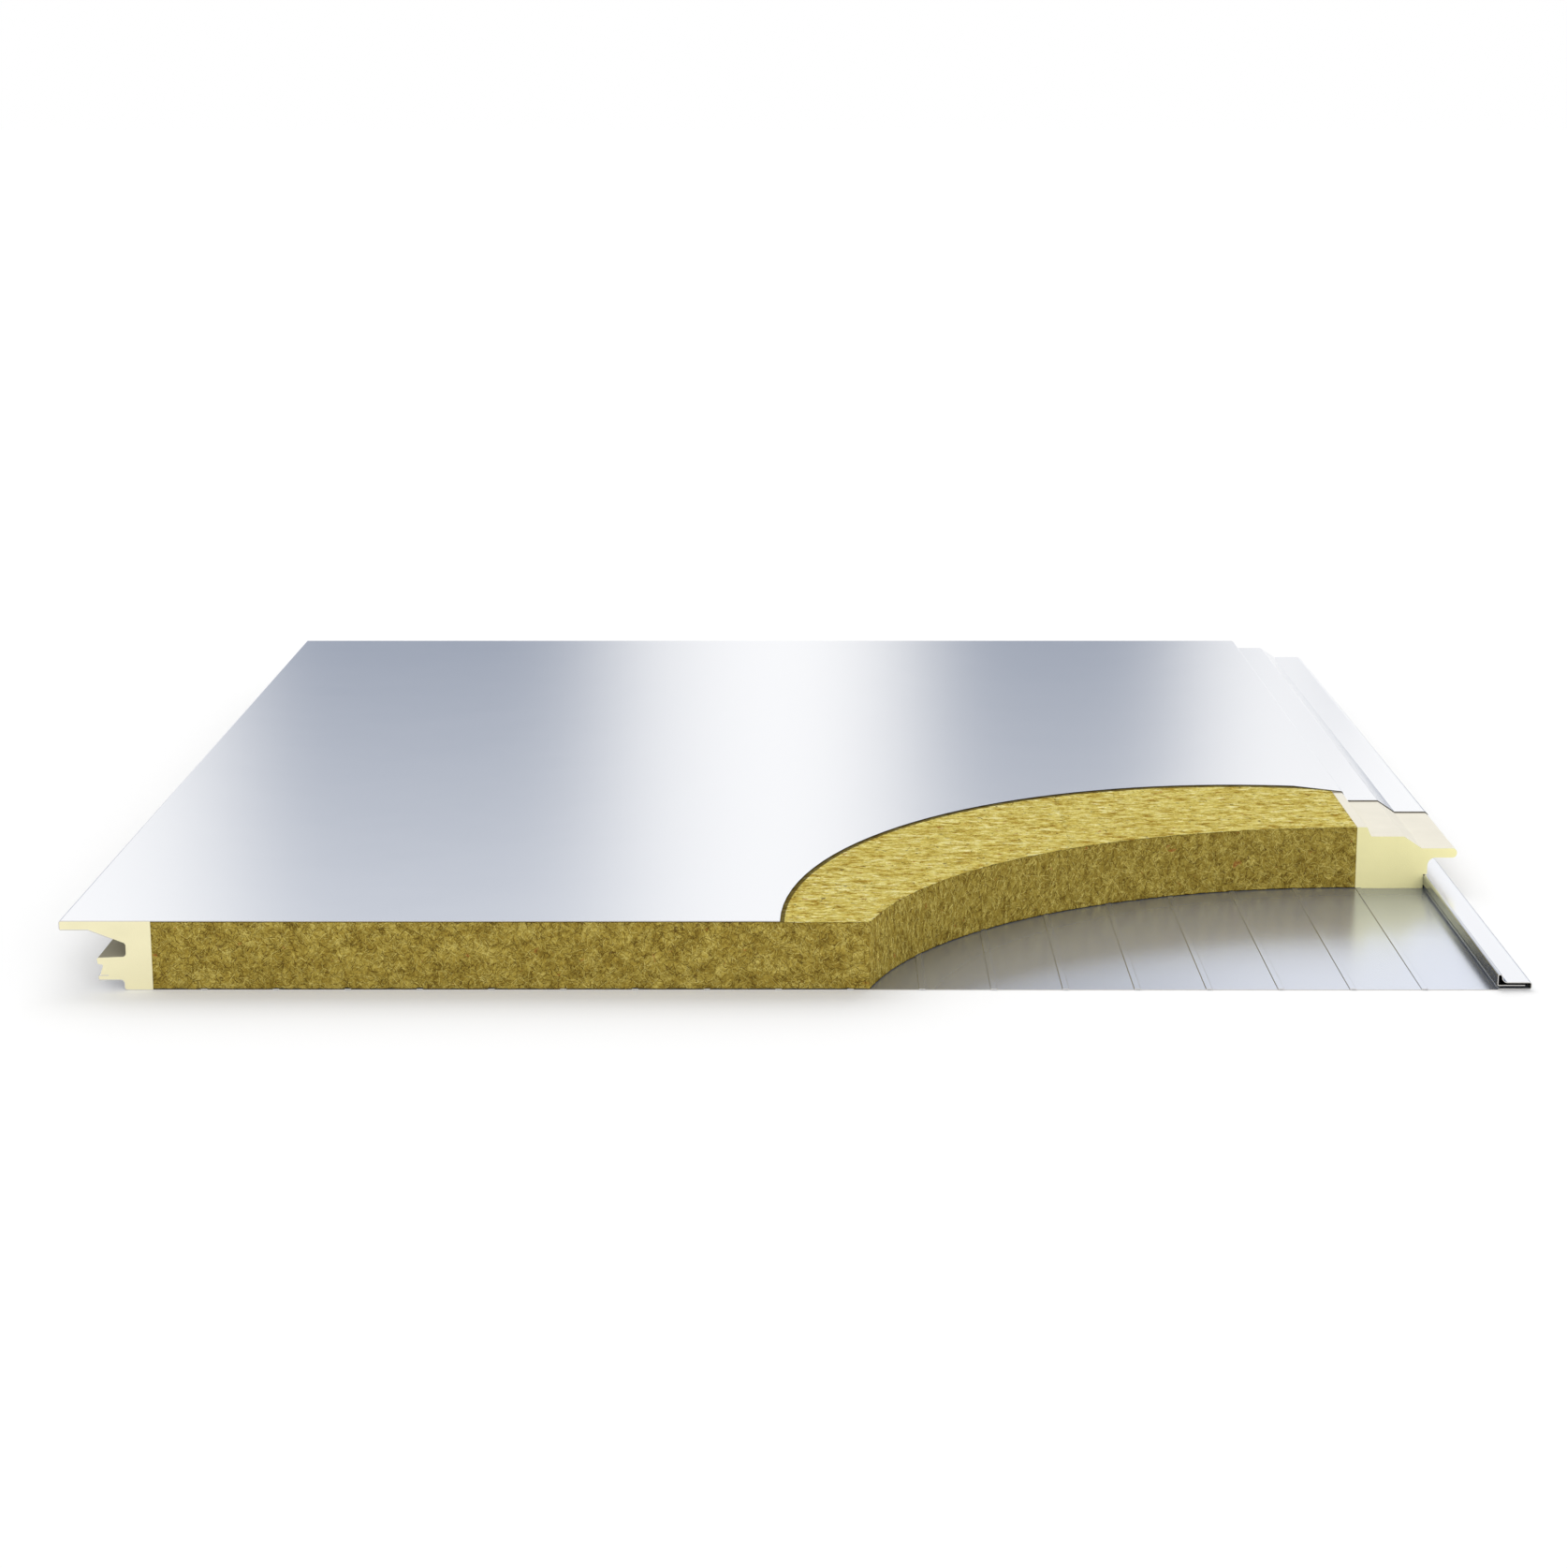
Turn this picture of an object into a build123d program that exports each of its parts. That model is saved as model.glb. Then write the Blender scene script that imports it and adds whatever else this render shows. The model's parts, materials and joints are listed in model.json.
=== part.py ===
from build123d import *
import math
import os

# Insulated wall panel with hidden fixings, a cutaway sample: two thin steel sheets, a mineral
# wool core and two rigid foam edge strips that carry the tongue and groove of the long joint.
# X runs across the panel, Y along it and Z up. The origin is below its centre, on the floor.
# Units are millimetres.

os.makedirs("parts", exist_ok=True)

# Overall sizes
panel_length = 1100.0
cover_width = 1000.0  # distance from one panel to the next on a wall
core_thickness = 50.0
sheet = 0.6  # steel thickness

# Long joint, the side with the nose. Distances across are from the next panel's lip.
reveal_width = 26.0  # open channel between two joined faces
reveal_slope = 3.5
ledge_drop = 7.6  # ledge that takes the fixing screws
ledge_end = 3.2
seat_drop = 17.3  # top of the nose
seat_start = 17.6
nose_reach = 46.3
nose_thickness = 8.8
nose_return = 31.0  # where the sheet folded under the nose ends
strip_wall = 22.5  # side of the foam strip below the nose
root_radius = 6.5

# Hemmed flange of the bottom sheet, on the same side
flange_reach = 43.9
flange_top = 6.0
flange_lift = 0.7
upstand_side = 19.4
upstand_height = 11.8
upstand_fold = 2.0  # gap inside the fold at the top of the upstand
riser_slope = 1.4  # how much wider that gap is at the foot of the riser
riser_radius = 4.2
inner_leg_height = 3.9
inner_leg_end = 39.0

# Long joint, the side with the groove, with the gaps that let the two sides close
joint_clearance = 0.3
lip_gap = 0.5
seal_gap = 3.3
flange_side_gap = 0.5
flange_top_gap = 1.4
lip_flat = 20.5
lip_slope_end = 38.0
groove_rise = 0.6  # how much higher the groove is than the nose at its end
groove_fall = 0.7  # drop of the groove's lower face towards its mouth
tongue_bevel = 1.0
tongue_lean = 0.6
tongue_height = 3.6
notch_depth = 4.0
notch_height = 1.4
hem_height = 3.3  # inside the hem of the lower lip
hem_leg = 7.0

# Where the foam strips end and the wool begins
left_strip_width = 64.8  # from the lip's nose
right_strip_start = 34.3  # back from the next panel's lip

# Ribs of the bottom sheet
rib_pitch = 51.0
rib_width = 5.0
rib_height = 0.5
rib_start = 32.0  # first rib, back from the next panel's lip

# Cutaway at the front corner. Widths are from the edge of the face, or from the foam strip.
sheet_cut_width = 464.0
sheet_cut_depth = 428.0
sheet_cut_crest = 90.0
sheet_cut_turn = 8.0  # degrees that the curve runs on past its crest
ledge_cut_depth = 403.0
wool_cut_width = 391.7
wool_cut_depth = 280.0
wool_cut_drop = 90.0  # centre of the wool's curve, in front of the panel

# Bend radii, on the foam side of the sheet
bend = 1.0
soft_bend = 1.6
step_radius = 3.0
groove_radius = 2.5
tongue_radius = 0.8

# Planes and edges that follow
total_thickness = core_thickness + 2 * sheet
overall_width = cover_width + nose_reach
core_top = total_thickness - sheet
lip_x = -overall_width / 2
joint_x = lip_x + cover_width
nose_x = joint_x + nose_reach
front_y = -panel_length / 2
face_edge_x = joint_x - reveal_width
strip_left_x = lip_x + left_strip_width
strip_right_x = joint_x - right_strip_start
end_plane = Plane.XZ.offset(-panel_length / 2)  # far end, its normal towards the front
past = 35.0  # how far a cutting outline runs past the panel

# Foam side of the sheets at the nose and the flange
ledge_z = core_top - ledge_drop
seat_z = core_top - seat_drop
nose_bottom = total_thickness - seat_drop - nose_thickness
nose_under_z = nose_bottom + sheet
nose_inner_x = nose_x - sheet
nose_radius = 0.48 * (seat_z - nose_under_z)
strip_wall_x = joint_x + strip_wall
upstand_x = joint_x + upstand_side
flange_x = joint_x + flange_reach - sheet

# Foam side of the sheets at the lip, the groove and the hem
lip_under_z = total_thickness - ledge_drop + lip_gap + sheet
lip_inner_x = lip_x + sheet
lip_corner_x = lip_x + lip_flat
groove_x = lip_x + nose_reach + joint_clearance
groove_top_z = total_thickness - seat_drop + groove_rise
groove_bottom_z = nose_bottom - joint_clearance
lip_fall = (lip_under_z - groove_top_z) / (groove_x - lip_corner_x)
lip_end = (lip_x + lip_slope_end, lip_under_z - lip_fall * (lip_slope_end - lip_flat))
tongue_x = lip_x + strip_wall + seal_gap
tongue_top_z = groove_bottom_z - groove_fall
tongue_under_z = tongue_top_z - tongue_bevel - tongue_height
hem_under_z = flange_top + flange_top_gap + sheet
hem_leg_z = hem_under_z + hem_height - sheet
hem_x = tongue_x + 1.5 * sheet
step_x = lip_x + flange_reach + flange_side_gap + sheet

# Corners that a sheet and the foam behind it share, each with its bend radius
lip_corners = [
    (lip_corner_x, lip_under_z, soft_bend),
    (lip_inner_x, lip_under_z, bend),
    (lip_inner_x, core_top, bend),
]
nose_corners = [
    (face_edge_x - sheet, core_top, bend),
    (face_edge_x + reveal_slope - sheet, ledge_z, soft_bend),
    (joint_x + ledge_end, ledge_z, soft_bend),
    (joint_x + seat_start, seat_z, soft_bend),
    (nose_inner_x, seat_z, nose_radius),
    (nose_inner_x, nose_under_z, nose_radius),
]
hem_corners = [
    (hem_x, hem_leg_z, bend / 2),
    (hem_x, hem_under_z, bend),
    (step_x, hem_under_z, step_radius),
    (step_x, sheet, soft_bend),
]
flange_corners = [
    (upstand_x + sheet, sheet, soft_bend),
    (upstand_x + sheet + 2 * flange_lift, sheet + flange_lift, soft_bend),
    (flange_x, sheet + flange_lift, bend),
    (flange_x, flange_top - sheet, bend),
    (upstand_x + sheet + upstand_fold + riser_slope, flange_top - sheet, riser_radius),
    (upstand_x + sheet + upstand_fold, upstand_height - sheet, 0.48 * upstand_fold),
    (upstand_x + sheet, upstand_height - sheet, 0.48 * upstand_fold),
    (upstand_x + sheet, inner_leg_height, bend / 2),
]
groove_corners = [
    (groove_x, groove_top_z, groove_radius),
    (groove_x, groove_bottom_z, groove_radius),
    (tongue_x + tongue_bevel, tongue_top_z, tongue_radius),
    (tongue_x, tongue_top_z - tongue_bevel, tongue_radius),
    (tongue_x + tongue_lean, tongue_under_z, tongue_radius),
    (tongue_x + notch_depth, tongue_under_z - tongue_lean, tongue_radius / 2),
    (tongue_x + notch_depth, tongue_under_z - tongue_lean - notch_height, tongue_radius),
    (hem_x + bend, hem_leg_z + sheet, 0),
    (hem_x + hem_leg, hem_leg_z + sheet, 0),
    (hem_x + hem_leg, hem_leg_z, 0),
]
root_corners = [
    (strip_wall_x, nose_under_z, root_radius),
    (strip_wall_x, upstand_height + joint_clearance, 0),
    (upstand_x, upstand_height + joint_clearance, 0),
    (upstand_x, sheet, 0),
]
rib_field = joint_x - rib_start - rib_width - strip_left_x
rib_count = int(rib_field // rib_pitch) + 1
rib_places = [joint_x - rib_start - n * rib_pitch for n in range(rib_count)]


def bent_line(first, corners, last):
    """Line through the corners, each with its own radius, that starts and ends straight."""
    points = [first] + [(x, z) for x, z, radius in corners] + [last]
    return FilletPolyline(*points, radius=[radius for x, z, radius in corners])


def bent_outline(corners):
    """Closed line through the corners, each with its own radius."""
    points = [(x, z) for x, z, radius in corners]
    return FilletPolyline(*points, radius=[radius for x, z, radius in corners], close=True)


def ribs(width, base_z):
    """Sections of all the ribs, on the open end sketch."""
    with Locations(*[(x, base_z) for x in rib_places]):
        Trapezoid(width, rib_height, 45, align=(Align.CENTER, Align.MIN))


# Outer sheet: a flat face with the lip, the screw ledge and the nose bent from it
with BuildPart() as top_sheet:
    with BuildSketch(end_plane):
        with BuildLine():
            fold = bent_line(lip_end, lip_corners + nose_corners, (joint_x + nose_return, nose_under_z))
            offset(fold, amount=sheet, side=Side.LEFT)
        make_face()
    extrude(amount=panel_length)
    with BuildSketch(Plane.XY):
        with BuildLine():
            curve = EllipticalCenterArc(
                (face_edge_x - sheet_cut_crest, front_y),
                sheet_cut_width - sheet_cut_crest,
                sheet_cut_depth,
                start_angle=90 - sheet_cut_turn,
                arc_size=90 + sheet_cut_turn,
            )
            Polyline(
                curve @ 0,
                (face_edge_x, front_y + ledge_cut_depth),
                (nose_x + past, front_y + ledge_cut_depth),
                (nose_x + past, front_y - past),
                (face_edge_x - sheet_cut_width, front_y - past),
                curve @ 1,
            )
        make_face()
    extrude(amount=2 * total_thickness, mode=Mode.SUBTRACT)
top_sheet.part.label = "top_sheet"
export_step(top_sheet.part, "parts/top_sheet.step")

# Inner sheet: ribbed, with the lower lip's hem on one side and the hollow flange on the other
with BuildPart() as bottom_sheet:
    with BuildSketch(end_plane):
        with BuildLine():
            leg_end = (joint_x + inner_leg_end, inner_leg_height)
            fold = bent_line((hem_x + hem_leg, hem_leg_z), hem_corners + flange_corners, leg_end)
            offset(fold, amount=sheet, side=Side.RIGHT)
        make_face()
        ribs(rib_width, sheet)
    extrude(amount=panel_length)
    with BuildSketch(end_plane):
        ribs(rib_width - sheet, 0)
    extrude(amount=panel_length, mode=Mode.SUBTRACT)
bottom_sheet.part.label = "bottom_sheet"
export_step(bottom_sheet.part, "parts/bottom_sheet.step")

# Foam strip with the lip, the groove and the tongue
with BuildPart() as pu_strip_left:
    with BuildSketch(end_plane):
        with BuildLine():
            bent_outline(
                [(strip_left_x, core_top, 0)]
                + lip_corners[::-1]
                + groove_corners
                + hem_corners
                + [(strip_left_x, sheet, 0)]
            )
        make_face()
    extrude(amount=panel_length)
pu_strip_left.part.label = "pu_strip_left"
export_step(pu_strip_left.part, "parts/pu_strip_left.step")

# Foam strip with the screw ledge and the nose, sawn off square in front
with BuildPart() as pu_strip_right:
    with BuildSketch(end_plane):
        with BuildLine():
            bent_outline(
                [(strip_right_x, core_top, 0)]
                + nose_corners
                + root_corners
                + [(strip_right_x, sheet, 0)]
            )
        make_face()
        with Locations((rib_places[0], sheet)):
            Trapezoid(rib_width, rib_height, 45, align=(Align.CENTER, Align.MIN), mode=Mode.SUBTRACT)
    extrude(amount=panel_length - wool_cut_depth)
pu_strip_right.part.label = "pu_strip_right"
export_step(pu_strip_right.part, "parts/pu_strip_right.step")

# Mineral wool between the strips, grooved over the ribs and cut away along a curve
with BuildPart() as wool_core:
    with BuildSketch(end_plane):
        with BuildLine():
            Polyline(
                (strip_left_x, sheet),
                (strip_right_x, sheet),
                (strip_right_x, core_top),
                (strip_left_x, core_top),
                close=True,
            )
        make_face()
        with Locations(*[(x, sheet) for x in rib_places]):
            Trapezoid(rib_width, rib_height, 45, align=(Align.CENTER, Align.MIN), mode=Mode.SUBTRACT)
    extrude(amount=panel_length)
    with BuildSketch(Plane.XY):
        with BuildLine():
            curve_depth = wool_cut_depth + wool_cut_drop
            front_share = wool_cut_drop / curve_depth
            curve = EllipticalCenterArc(
                (strip_right_x, front_y - wool_cut_drop),
                wool_cut_width / math.sqrt(1 - front_share**2),
                curve_depth,
                start_angle=90,
                arc_size=90 - math.degrees(math.asin(front_share)),
            )
            Polyline(
                curve @ 1,
                (strip_right_x - wool_cut_width, front_y - past),
                (strip_right_x + past, front_y - past),
                (strip_right_x + past, front_y + wool_cut_depth),
                curve @ 0,
            )
        make_face()
    extrude(amount=total_thickness, mode=Mode.SUBTRACT)
wool_core.part.label = "wool_core"
export_step(wool_core.part, "parts/wool_core.step")
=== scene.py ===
"""Looks of the insulated wall panel: finishes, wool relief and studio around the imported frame."""

from __future__ import annotations

import json
import logging
import math
from collections.abc import Callable, Sequence
from dataclasses import dataclass, replace
from enum import Enum
from functools import cached_property

import bmesh
import bpy
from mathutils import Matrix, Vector

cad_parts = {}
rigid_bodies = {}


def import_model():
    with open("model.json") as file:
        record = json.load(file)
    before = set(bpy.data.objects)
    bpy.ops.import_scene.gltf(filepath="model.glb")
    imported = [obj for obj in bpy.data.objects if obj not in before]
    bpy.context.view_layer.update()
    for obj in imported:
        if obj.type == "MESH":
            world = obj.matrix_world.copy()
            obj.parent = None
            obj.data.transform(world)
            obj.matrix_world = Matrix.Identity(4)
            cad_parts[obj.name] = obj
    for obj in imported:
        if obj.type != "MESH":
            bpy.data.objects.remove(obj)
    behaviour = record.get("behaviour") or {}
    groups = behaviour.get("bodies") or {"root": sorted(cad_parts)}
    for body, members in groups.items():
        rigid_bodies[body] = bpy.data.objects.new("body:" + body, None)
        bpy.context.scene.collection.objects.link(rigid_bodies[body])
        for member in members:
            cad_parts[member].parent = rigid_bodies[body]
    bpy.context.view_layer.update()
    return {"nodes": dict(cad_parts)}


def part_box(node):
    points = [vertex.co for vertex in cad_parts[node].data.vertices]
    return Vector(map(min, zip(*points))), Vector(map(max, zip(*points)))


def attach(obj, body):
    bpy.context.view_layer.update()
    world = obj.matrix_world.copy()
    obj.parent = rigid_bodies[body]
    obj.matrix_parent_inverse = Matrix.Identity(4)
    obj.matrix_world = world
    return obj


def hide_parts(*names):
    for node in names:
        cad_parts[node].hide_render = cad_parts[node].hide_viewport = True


log = logging.getLogger("panel")

Colour = tuple[float, float, float]
Stops = Sequence[tuple[float, Colour]]
Material = bpy.types.Material
Piece = bpy.types.Object
Socket = bpy.types.NodeSocket

PHOTO_SIZE = (1674, 1675)
WHITE = (1.0, 1.0, 1.0, 1.0)
LAYERS = (1.0, 4.5, 1.0)  # the wool's fibres lie in planes across the panel's length

# Attributes that the strands of wool carry
TONE = "tone"
LIFT = "lift"
UP = "up"


class Node(Enum):
    """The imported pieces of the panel."""

    TOP_SHEET = "top_sheet"
    BOTTOM_SHEET = "bottom_sheet"
    WOOL = "wool_core"
    STRIP_LEFT = "pu_strip_left"
    STRIP_RIGHT = "pu_strip_right"


class Region(Enum):
    """The faces of the wool that show their fibres."""

    FRONT = "front"
    WALL = "wall"
    LEDGE_NEAR = "ledge_near"
    LEDGE_FAR = "ledge_far"


class Kind(Enum):
    """The kinds of element in a mesh, by the mesh's own name for them."""

    FACE = "faces"
    EDGE = "edges"
    VERT = "verts"


@dataclass(frozen=True)
class Pattern:
    """A noise pattern: how fine its spots are, and how detailed, swirled and squeezed."""

    scale: float
    detail: float = 2.0
    swirl: float = 0.0
    squeeze: tuple[float, float, float] | None = None


class Graph:
    """Short calls for building a node tree."""

    def __init__(self, tree: bpy.types.NodeTree) -> None:
        """Empties the tree.

        Args:
            tree: The node tree to build in.
        """
        self.tree = tree
        tree.nodes.clear()

    @cached_property
    def place(self) -> Socket:
        """The object coordinates in a material, or the position in a tree that shapes a mesh."""
        if isinstance(self.tree, bpy.types.GeometryNodeTree):
            return self.add("GeometryNodeInputPosition").outputs["Position"]
        return self.add("ShaderNodeTexCoord").outputs["Object"]

    @cached_property
    def spot(self) -> bpy.types.NodeOutputs:
        """The X, Y and Z of the place."""
        return self.split(self.place)

    @cached_property
    def facing(self) -> bpy.types.NodeOutputs:
        """The X, Y and Z of the way that a face points in a material, without smoothing."""
        return self.split(self.add("ShaderNodeNewGeometry").outputs["True Normal"])

    def add(self, kind: str, settings: dict | None = None, **inputs: object) -> bpy.types.Node:
        """Adds a node, sets its properties and fills or links its inputs.

        Args:
            kind: The node's type name.
            settings: Properties of the node itself.
            inputs: Values or output sockets, by input name with underscores for spaces, or
                by number as i0, i1 and so on.

        Returns:
            The new node.
        """
        node = self.tree.nodes.new(kind)
        for name, value in (settings or {}).items():
            setattr(node, name, value)
        for name, value in inputs.items():
            key = int(name[1:]) if name[1:].isdigit() else name.replace("_", " ")
            if isinstance(value, Socket):
                self.tree.links.new(value, node.inputs[key])
            else:
                node.inputs[key].default_value = value
        return node

    def split(self, value: Socket) -> bpy.types.NodeOutputs:
        """Adds a node that takes a vector apart, and returns its outputs X, Y and Z."""
        return self.add("ShaderNodeSeparateXYZ", Vector=value).outputs

    def math(self, operation: str, first: object, second: object = 0.0, third: object = 0.0) -> Socket:
        """Adds a math node and returns its output."""
        return self.add("ShaderNodeMath", {"operation": operation}, i0=first, i1=second, i2=third).outputs[0]

    def vector(self, operation: str, first: object, second: object) -> Socket:
        """Adds a vector math node and returns its output."""
        return self.add("ShaderNodeVectorMath", {"operation": operation}, i0=first, i1=second).outputs[0]

    def scaled(self, value: object, factor: object) -> Socket:
        """Adds a node that makes a vector longer or shorter, and returns its output."""
        return self.add("ShaderNodeVectorMath", {"operation": "SCALE"}, i0=value, Scale=factor).outputs[0]

    def stored(self, mesh: Socket, kind: str, name: str, value: object) -> Socket:
        """Adds a node that keeps a value as a named attribute, and returns the geometry."""
        settings = {"data_type": kind}
        node = self.add("GeometryNodeStoreNamedAttribute", settings, Geometry=mesh, Name=name, Value=value)
        return node.outputs["Geometry"]

    def recalled(self, kind: str, name: str) -> Socket:
        """Adds a node that reads a named attribute, and returns its output."""
        return self.add("GeometryNodeInputNamedAttribute", {"data_type": kind}, Name=name).outputs[0]

    def product(self, *values: object) -> Socket:
        """Multiplies two or more values and returns the output."""
        result = values[0]
        for value in values[1:]:
            result = self.math("MULTIPLY", result, value)
        return result

    def inverse(self, value: object) -> Socket:
        """Takes a value from one and returns the output."""
        return self.math("SUBTRACT", 1.0, value)

    def between(self, share: object, first: object, second: object) -> Socket:
        """Goes from the first value to the second one as the share goes from 0 to 1."""
        return self.add("ShaderNodeMapRange", Value=share, To_Min=first, To_Max=second).outputs["Result"]

    def above(self, value: object, limit: float, soft: float = 0.05) -> Socket:
        """Adds a soft step.

        Args:
            value: The value to test.
            limit: Where the step is.
            soft: Half the width of its slope.

        Returns:
            An output that is 0 below the limit and 1 above it.
        """
        node = self.add("ShaderNodeMapRange", Value=value, From_Min=limit - soft, From_Max=limit + soft)
        return node.outputs["Result"]

    def within(self, value: object, low: float, high: float, soft: float) -> Socket:
        """Adds a soft step up at one limit and down at another, and returns the output."""
        return self.product(self.above(value, low, soft), self.inverse(self.above(value, high, soft)))

    def ramp(self, factor: object, stops: Stops) -> Socket:
        """Adds a colour ramp.

        Args:
            factor: What drives the ramp.
            stops: Place and colour of each stop.

        Returns:
            The ramp's colour output.
        """
        node = self.add("ShaderNodeValToRGB", Fac=factor)
        elements = node.color_ramp.elements
        while len(elements) < len(stops):
            elements.new(0.5)
        for element, (place, colour) in zip(elements, stops):
            element.position = place
            element.color = opaque(colour)
        return node.outputs["Color"]

    def mix(self, factor: object, first: Socket | Colour, second: Socket | Colour) -> Socket:
        """Adds a colour mix of the first and the second colour."""
        pair = [opaque(colour) if isinstance(colour, tuple) else colour for colour in (first, second)]
        node = self.add("ShaderNodeMix", {"data_type": "RGBA"}, Factor=factor, i6=pair[0], i7=pair[1])
        return node.outputs["Result"]

    def noise(self, pattern: Pattern) -> Socket:
        """Adds a noise pattern over the object and returns its value."""
        place = self.vector("MULTIPLY", self.place, pattern.squeeze) if pattern.squeeze else self.place
        shape = {"Scale": pattern.scale, "Detail": pattern.detail, "Distortion": pattern.swirl}
        return self.add("ShaderNodeTexNoise", Vector=place, **shape).outputs["Fac"]

    def spots(self, pattern: Pattern, half_range: float) -> Socket:
        """Adds a noise pattern that goes from 0 to 1 within half a range of its middle."""
        return self.above(self.noise(pattern), 0.5, half_range)

    def bump(self, height: Socket, strength: object, depth: float) -> Socket:
        """Adds a bump and returns the normal that it gives."""
        node = self.add("ShaderNodeBump", Height=height, Strength=strength, Distance=depth)
        return node.outputs["Normal"]

    def finish(self, **inputs: object) -> None:
        """Adds the surface shader with its inputs and hands it to the material."""
        shader = self.add("ShaderNodeBsdfPrincipled", **inputs)
        self.add("ShaderNodeOutputMaterial", Surface=shader.outputs["BSDF"])


def grey(value: float) -> Colour:
    """Returns a neutral colour."""
    return (value, value, value)


def opaque(colour: Colour) -> tuple[float, float, float, float]:
    """Returns the colour with full alpha."""
    return (*colour, 1.0)


def brightened(stops: Stops, factor: float) -> Stops:
    """Returns the stops of a ramp with lighter or darker colours."""
    return [(place, tuple(factor * part for part in colour)) for place, colour in stops]


def new_material(name: str) -> tuple[Material, Graph]:
    """Makes an empty node material and returns it with its graph."""
    material = bpy.data.materials.new(name)
    material.use_nodes = True
    return material, Graph(material.node_tree)


@dataclass(frozen=True)
class Curve:
    """The ellipse along which the sheet or the wool is cut, seen from above. Sizes are in metres."""

    centre: tuple[float, float]
    reach: tuple[float, float]

    def shrunk(self, border: tuple[float, float]) -> Curve:
        """Returns the curve drawn in by a border, across and along the panel."""
        return Curve(self.centre, (self.reach[0] - border[0], self.reach[1] - border[1]))

    def share_at(self, place: Vector) -> float:
        """Returns how far out a place lies, from 0 at the curve's centre to 1 on the curve."""
        x = (place.x - self.centre[0]) / self.reach[0]
        y = (place.y - self.centre[1]) / self.reach[1]
        return math.hypot(x, y)

    def share(self, graph: Graph) -> Socket:
        """Adds nodes that find the same for each place of a surface, and returns their output."""
        apart = graph.vector("SUBTRACT", graph.place, (*self.centre, 0.0))
        scaled = graph.vector("DIVIDE", apart, (*self.reach, 1.0))
        flat = graph.vector("MULTIPLY", scaled, (1.0, 1.0, 0.0))
        return graph.add("ShaderNodeVectorMath", {"operation": "LENGTH"}, i0=flat).outputs["Value"]


@dataclass(frozen=True)
class CoatedSteel:
    """Thin pre-painted steel sheet with a satin metallic coat and cut edges, which carry painted shadow behind
    the panel's end. Sizes are in metres.
    """

    name: str
    tint: Colour
    roughness: float
    side_cut_until: float = -1.0  # cuts that face along X lie left of this place
    panel_end: float = -0.5495  # cuts in front of this place are sawn and clean
    # Cut edges behind the panel's end: partly the bare steel, partly painted shadow of the gap under the cut
    # sheet.
    shaded_edge: Colour = (0.05, 0.047, 0.035)
    sawn_edge: Colour = (0.62, 0.60, 0.57)
    edge_roughness: float = 0.6
    slant: float = 0.3  # how far a normal turns to a side before its face counts as facing it
    side_slant: float = 0.2
    metallic: float = 1.0
    unevenness: float = 0.04
    grain: Pattern = Pattern(900.0, 1.0)
    ripple: Pattern = Pattern(9.0)
    ripple_strength: float = 0.03
    ripple_depth: float = 0.004

    def build(self) -> Material:
        """Builds the material.

        Returns:
            The sheet's material.
        """
        material, graph = new_material(self.name)
        edge = self.cut_mask(graph)
        coat, metallic, roughness = self.coat(graph)
        uneven = graph.product(graph.math("SUBTRACT", graph.noise(self.grain), 0.5), self.unevenness)
        coated = graph.math("ADD", roughness, uneven)
        inward = graph.above(graph.spot["Y"], self.panel_end, soft=0.0003)
        # Sawn front edges keep their bare colour; the other cut edges take the dark painted shadow.
        edge_colour = graph.mix(inward, self.sawn_edge, self.shaded_edge)
        graph.finish(
            Base_Color=graph.mix(edge, coat, edge_colour),
            Metallic=graph.product(graph.inverse(edge), metallic),
            Roughness=graph.math("MAXIMUM", coated, graph.product(edge, self.edge_roughness)),
            Normal=graph.bump(graph.noise(self.ripple), self.ripple_strength, self.ripple_depth),
        )
        return material

    def coat(self, graph: Graph) -> tuple[object, object, object]:
        """Gives the colour of the coat, how metallic it is and how rough.

        Args:
            graph: The material's graph.

        Returns:
            A value or an output for each.
        """
        return self.tint, self.metallic, self.roughness

    def cut_mask(self, graph: Graph) -> Socket:
        """Finds the sheet's cut edges by the way they face.

        Args:
            graph: The material's graph.

        Returns:
            An output that is 1 on the cut edges.
        """
        upright = graph.inverse(graph.above(graph.math("ABSOLUTE", graph.facing["Z"]), self.slant))
        lengthwise = graph.above(graph.math("ABSOLUTE", graph.facing["Y"]), self.slant)
        beyond = graph.above(graph.spot["X"], self.side_cut_until, soft=0.001)
        sideways = graph.product(graph.above(graph.facing["X"], self.side_slant), graph.inverse(beyond))
        return graph.product(upright, graph.math("MAXIMUM", lengthwise, sideways))


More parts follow.
